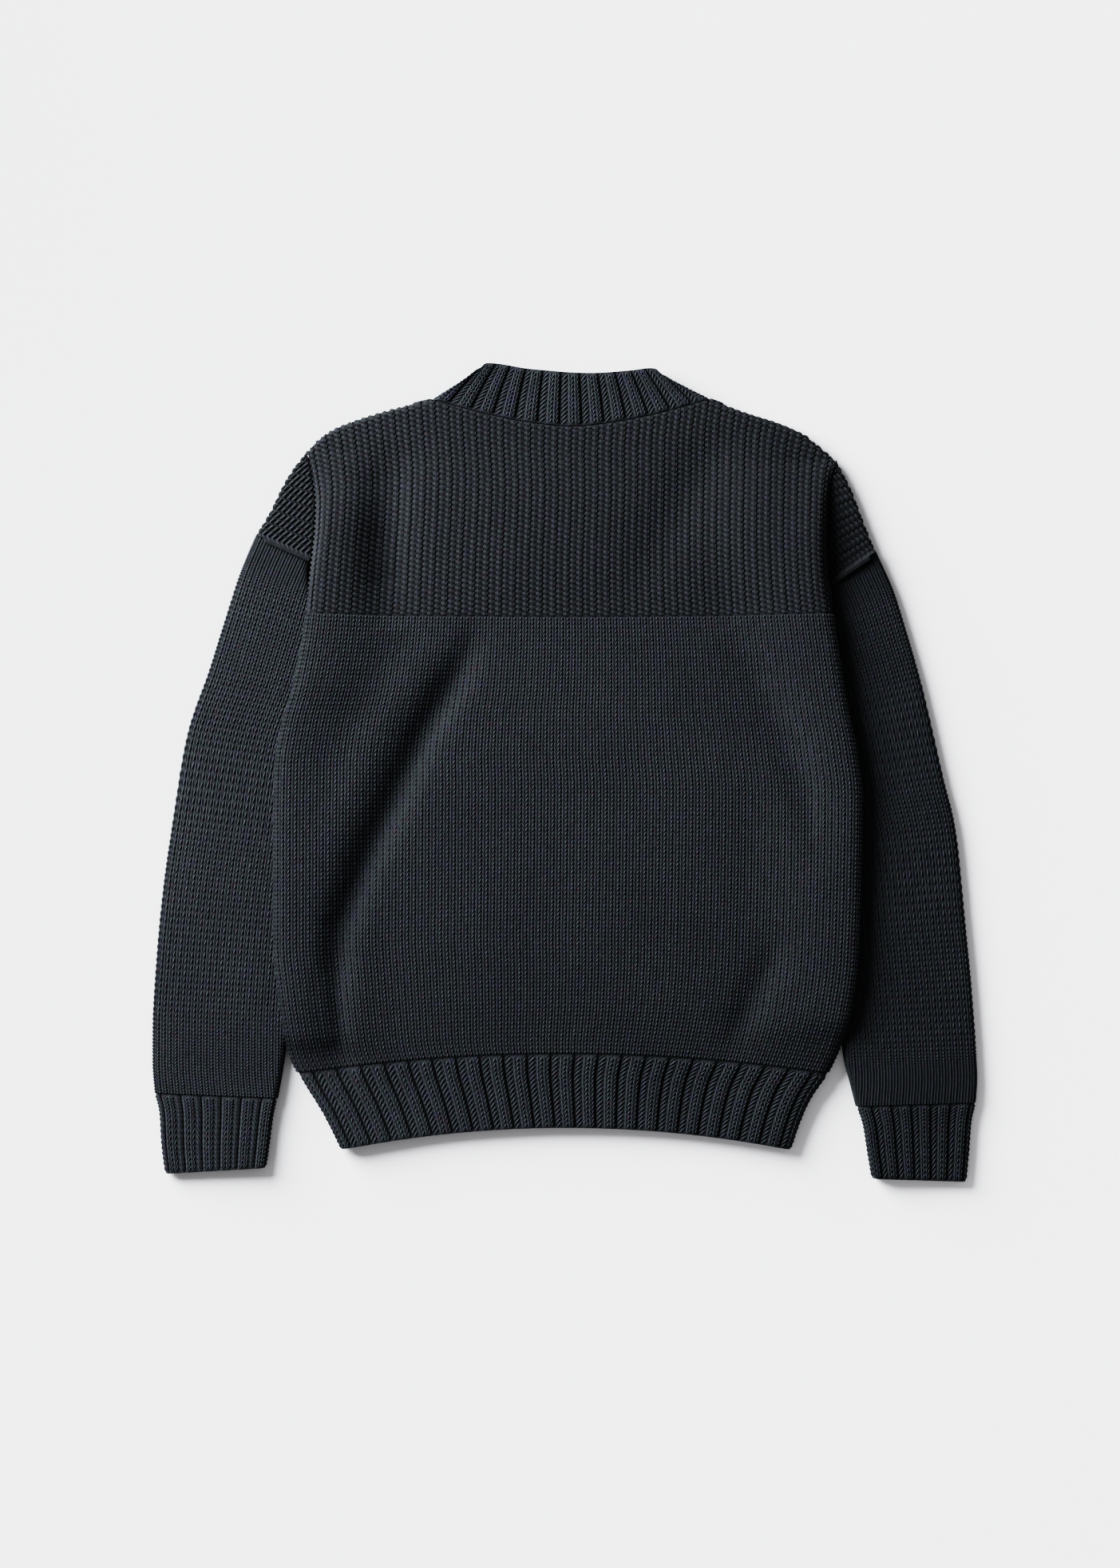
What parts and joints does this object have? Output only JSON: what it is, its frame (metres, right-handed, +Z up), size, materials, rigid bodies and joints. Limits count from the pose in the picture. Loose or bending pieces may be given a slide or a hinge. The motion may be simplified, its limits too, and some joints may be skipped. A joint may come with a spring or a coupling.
{
  "type": "guernsey fisherman sweater",
  "caption": "Chunky knitted wool sweater laid flat with its back up: seed-stitch yoke, dropped shoulders, long sleeves, ribbed mock neck, cuffs and hem.",
  "frame": {"origin": "centre of the bounding box's underside, on the surface that the sweater lies on", "axes": "+Z up out of the surface, towards the garment's back; +Y towards the neck; +X towards the sleeve that is on the right with the back up"},
  "size_m": [0.723, 0.715, 0.0313],
  "materials": {
    "back_yoke": "dark navy wool knit, seed stitch",
    "back_body": "dark navy wool knit, stocking stitch",
    "back_hem_rib": "dark navy wool knit, rib",
    "front_yoke": "dark navy wool knit, seed stitch",
    "front_body": "dark navy wool knit, stocking stitch",
    "front_hem_rib": "dark navy wool knit, rib",
    "left_sleeve": "dark navy wool knit, stocking stitch",
    "right_sleeve": "dark navy wool knit, stocking stitch",
    "left_cuff": "dark navy wool knit, rib",
    "right_cuff": "dark navy wool knit, rib",
    "collar": "dark navy wool knit, rib"
  },
  "bodies": {
    "root": {"back_yoke": "back_yoke", "back_body": "back_body", "back_hem_rib": "back_hem_rib", "front_yoke": "front_yoke", "front_body": "front_body", "front_hem_rib": "front_hem_rib", "left_sleeve": "left_sleeve", "right_sleeve": "right_sleeve", "left_cuff": "left_cuff", "right_cuff": "right_cuff", "collar": "collar"}
  },
  "joints": []
}
